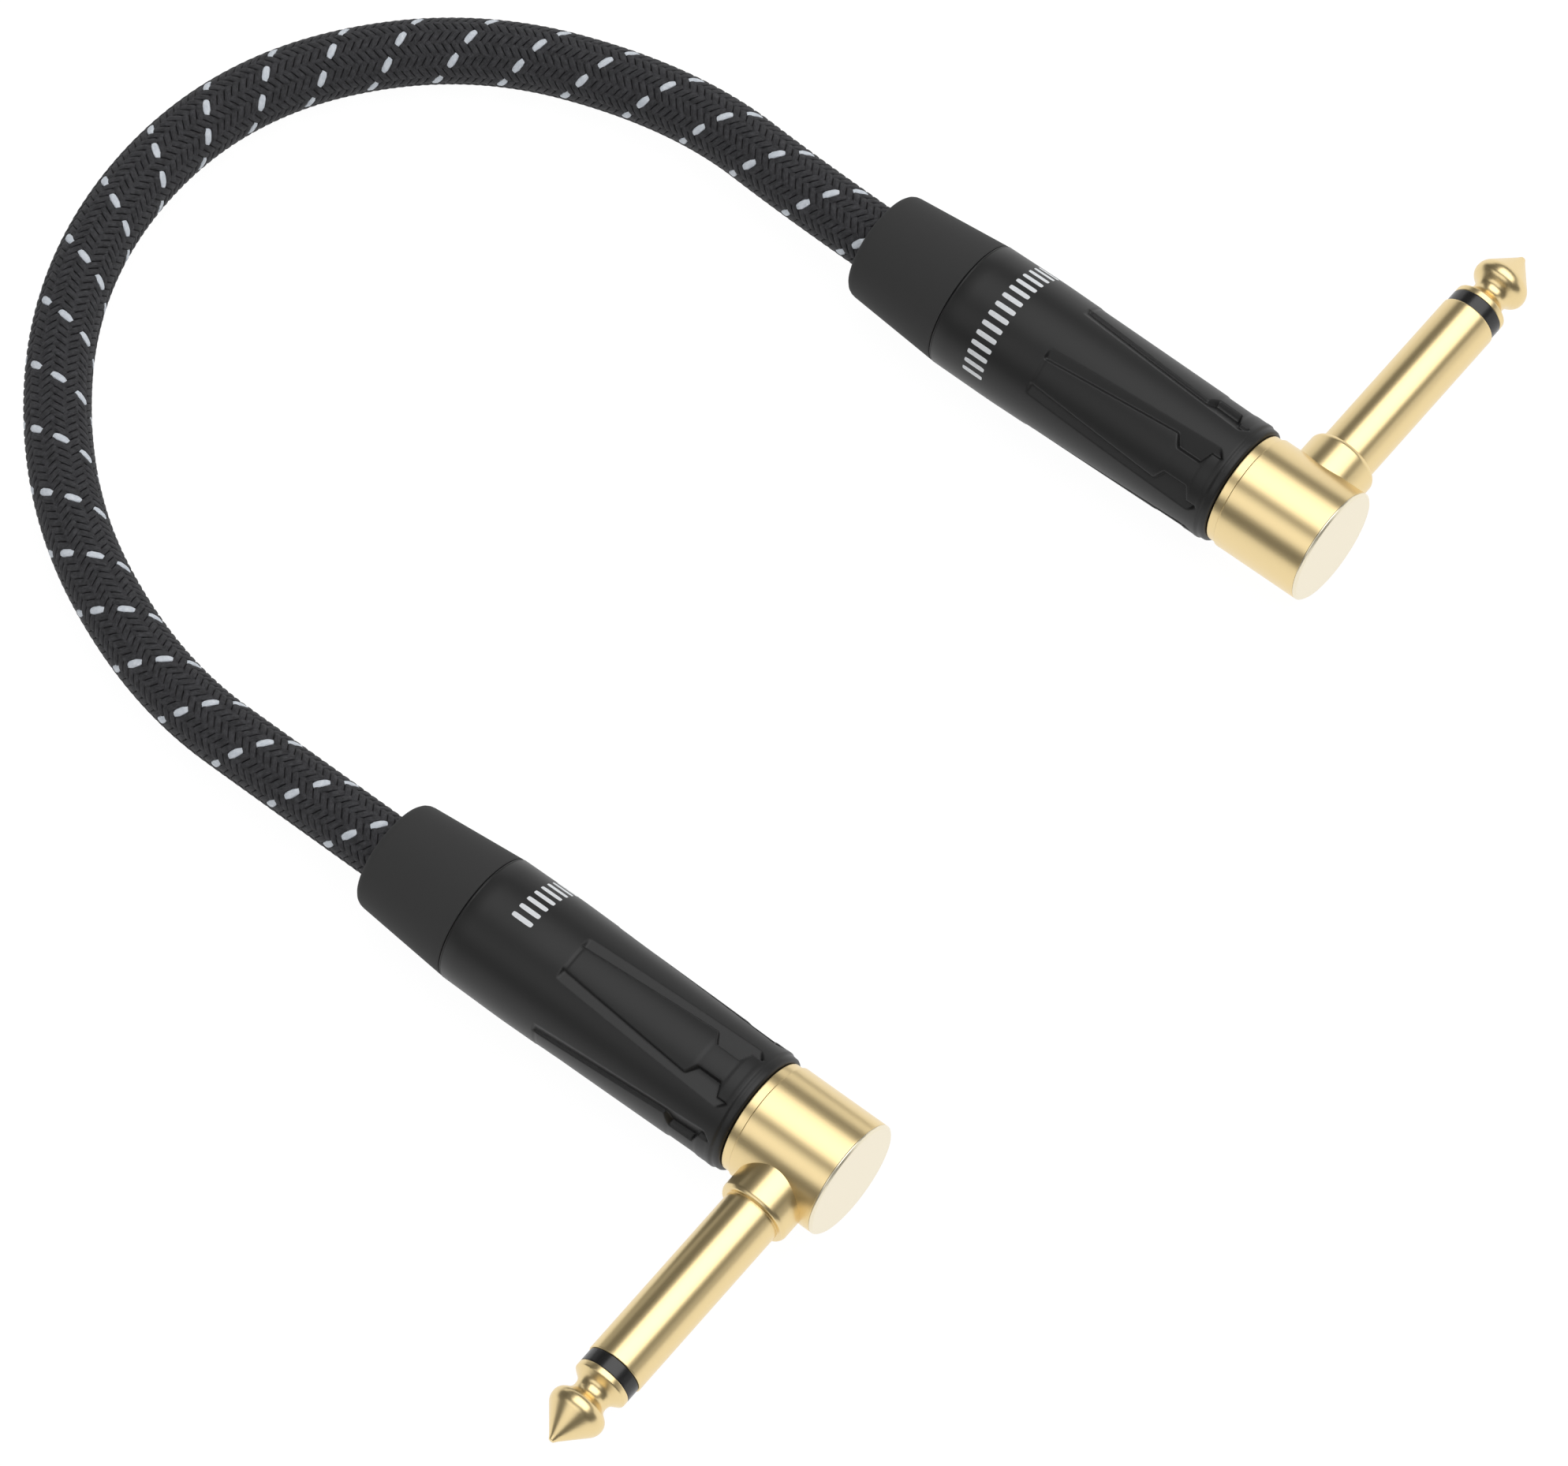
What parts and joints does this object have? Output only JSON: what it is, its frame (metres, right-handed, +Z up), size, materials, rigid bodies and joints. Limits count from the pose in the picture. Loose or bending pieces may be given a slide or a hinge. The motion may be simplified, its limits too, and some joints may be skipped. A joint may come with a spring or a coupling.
{
  "type": "instrument cable",
  "caption": "Short braided patch cable with a right-angle quarter-inch mono plug at each end, curled into a U as it lies on a table.",
  "frame": {"origin": "centre of the two plugs' footprint on the table, at the table's height, without the cable", "axes": "+X along the plug bodies towards their heads, +Y along plug B's pin and against plug A's, +Z up from the table"},
  "size_m": [0.1354, 0.1672, 0.0144],
  "materials": {
    "gold_plating": "mirror gold plating on turned brass",
    "pale_gold": "satin pale gold plating",
    "black_insulator": "glossy black moulded ring",
    "clear_insulator": "natural moulded insulator",
    "terminal_brass": "tinned brass tag",
    "solder": "dull bright solder",
    "chuck_plastic": "grey moulded collet",
    "boot_rubber": "soft-touch black, fine grain",
    "black_lacquer": "glossy black lacquer with fine orange peel",
    "braid_black": "black textile braid with pale tracer yarns",
    "jacket_black": "black cable jacket",
    "copper": "bare copper strands",
    "dielectric_white": "natural white core insulation",
    "tracer_white": "bluish white tracer yarns of the braid, on the visual model only",
    "print_white": "thin printed bars on the lacquer, on the visual model only"
  },
  "bodies": {
    "root": {"plug_a_tip": "gold_plating", "plug_a_tip_insulator": "black_insulator", "plug_a_rod_insulator": "clear_insulator", "plug_a_sleeve": "gold_plating", "plug_a_head": "gold_plating", "plug_a_end_cap": "pale_gold", "plug_a_tip_terminal": "terminal_brass", "plug_a_ground_terminal": "terminal_brass", "plug_a_inner_insulator": "clear_insulator", "plug_a_solder_joints": "solder", "plug_a_chuck": "chuck_plastic", "plug_b_tip": "gold_plating", "plug_b_tip_insulator": "black_insulator", "plug_b_rod_insulator": "clear_insulator", "plug_b_sleeve": "gold_plating", "plug_b_head": "gold_plating", "plug_b_end_cap": "pale_gold", "plug_b_tip_terminal": "terminal_brass", "plug_b_ground_terminal": "terminal_brass", "plug_b_inner_insulator": "clear_insulator", "plug_b_solder_joints": "solder", "plug_b_chuck": "chuck_plastic", "cable_braid": "braid_black", "cable_jacket": "jacket_black", "cable_shield": "copper", "cable_dielectric": "dielectric_white", "cable_conductor": "copper"},
    "boot_a": {"plug_a_boot": "boot_rubber"},
    "shell_a": {"plug_a_shell": "black_lacquer"},
    "boot_b": {"plug_b_boot": "boot_rubber"},
    "shell_b": {"plug_b_shell": "black_lacquer"}
  },
  "joints": [
    {"name": "boot_a_slide", "type": "slide", "parent": "root", "child": "boot_a", "axis": [-1, 0, 0], "range_m": [0, 0.0045]},
    {"name": "shell_a_unscrew", "type": "hinge", "parent": "boot_a", "child": "shell_a", "pos_m": [0.0271, -0.0435, 0.0072], "axis": [-1, 0, 0], "range_deg": [0, 2160]},
    {"name": "boot_b_slide", "type": "slide", "parent": "root", "child": "boot_b", "axis": [-1, 0, 0], "range_m": [0, 0.0045]},
    {"name": "shell_b_unscrew", "type": "hinge", "parent": "boot_b", "child": "shell_b", "pos_m": [0.0208, 0.0435, 0.0072], "axis": [-1, 0, 0], "range_deg": [0, 2160]}
  ],
  "couplings": [
    {"joint": "shell_a_unscrew", "follows": "boot_a_slide", "rad_per_m": 8377.6},
    {"joint": "shell_b_unscrew", "follows": "boot_b_slide", "rad_per_m": 8377.6}
  ]
}
